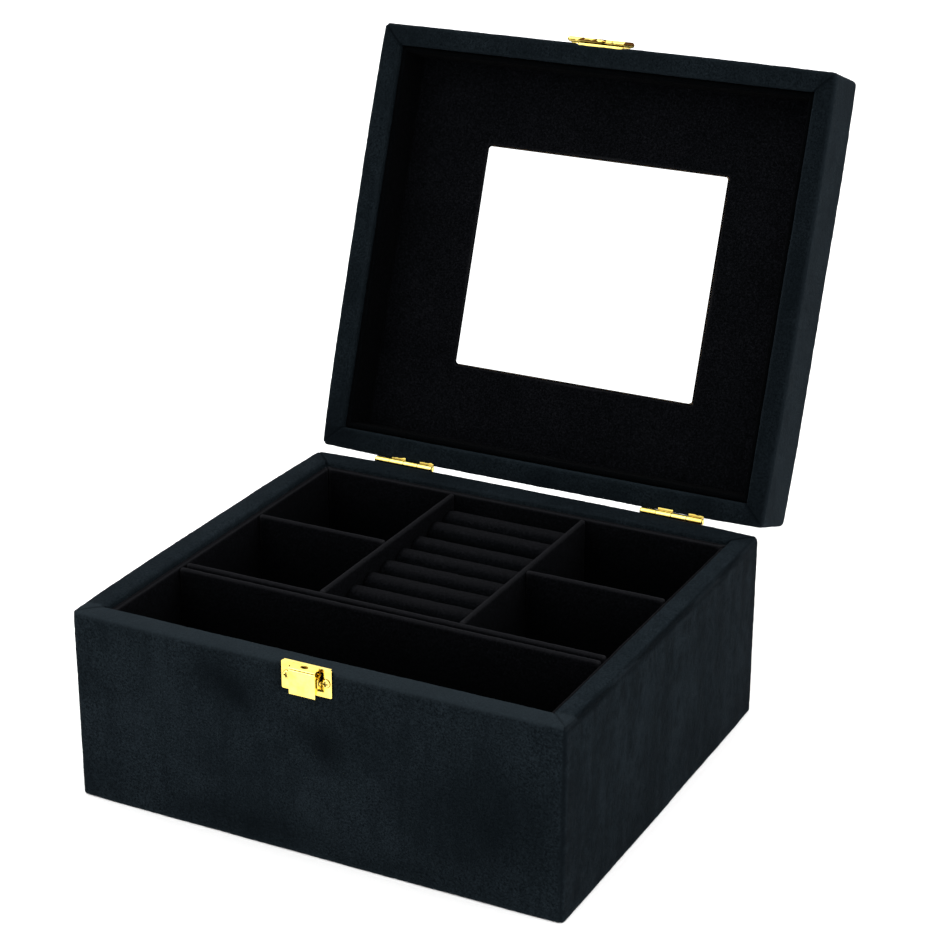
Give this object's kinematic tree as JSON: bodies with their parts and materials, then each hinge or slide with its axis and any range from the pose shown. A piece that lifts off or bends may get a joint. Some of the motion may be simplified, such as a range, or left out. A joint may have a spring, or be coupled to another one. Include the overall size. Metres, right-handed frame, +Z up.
{
  "type": "jewelry case",
  "caption": "Rigid suede-covered jewelry case with a hinged mirror lid, brass latch, velvet-lined compartments and ring rolls.",
  "frame": {"origin": "centre of the flat underside, on the surface that the case stands on", "axes": "+X along the front from left to right, +Y from front to back, +Z up"},
  "size_m": [0.26, 0.3542, 0.3282],
  "materials": {
    "suede": "fine short nap, brushed in patches",
    "velvet": "short-pile velvet",
    "board": "raw fibreboard, hidden under the suede",
    "backing_paper": "matt embossed paper",
    "foam": "matt",
    "brass": "polished",
    "spring_steel": "drawn wire",
    "mirror_glass": "polished"
  },
  "bodies": {
    "base": {"underside_panel": "backing_paper", "base_floor_board": "board", "base_front_wall": "board", "base_back_wall": "board", "base_left_wall": "board", "base_right_wall": "board", "base_cover": "suede", "front_lining": "velvet", "back_lining": "velvet", "left_lining": "velvet", "right_lining": "velvet", "floor_mat": "velvet", "front_divider": "velvet", "tray_front_board": "velvet", "left_long_divider": "velvet", "right_long_divider": "velvet", "left_cross_divider": "velvet", "right_cross_divider": "velvet", "ring_roll_bed": "foam", "ring_roll_1": "velvet", "ring_roll_2": "velvet", "ring_roll_3": "velvet", "ring_roll_4": "velvet", "ring_roll_5": "velvet", "ring_roll_6": "velvet", "ring_roll_7": "velvet", "ring_roll_8": "velvet", "latch_plate": "brass", "latch_pin": "brass", "latch_spring": "spring_steel", "latch_screw_left": "brass", "latch_screw_right": "brass", "left_hinge_base_leaf": "brass", "left_hinge_pin": "brass", "left_hinge_base_screw_1": "brass", "left_hinge_base_screw_2": "brass", "right_hinge_base_leaf": "brass", "right_hinge_pin": "brass", "right_hinge_base_screw_1": "brass", "right_hinge_base_screw_2": "brass"},
    "lid": {"lid_top_board": "board", "lid_front_wall": "board", "lid_back_wall": "board", "lid_left_wall": "board", "lid_right_wall": "board", "lid_cover": "suede", "lid_lining_band": "velvet", "lid_liner_panel": "velvet", "mirror": "mirror_glass", "keeper": "brass", "keeper_screw_left": "brass", "keeper_screw_right": "brass", "left_hinge_lid_leaf": "brass", "left_hinge_lid_screw_1": "brass", "left_hinge_lid_screw_2": "brass", "right_hinge_lid_leaf": "brass", "right_hinge_lid_screw_1": "brass", "right_hinge_lid_screw_2": "brass"},
    "latch_flap": {"latch_flap": "brass"}
  },
  "joints": [
    {"name": "lid_hinge", "type": "hinge", "parent": "base", "child": "lid", "pos_m": [0, 0.1198, 0.10025], "axis": [1, 0, 0], "range_deg": [0, 109.4]},
    {"name": "latch_press", "type": "hinge", "parent": "base", "child": "latch_flap", "pos_m": [0, -0.1199, 0.0925], "axis": [1, 0, 0], "range_deg": [0, 4.5], "stiffness_Nm_per_rad": 0.01, "springref_deg": -28.65}
  ]
}
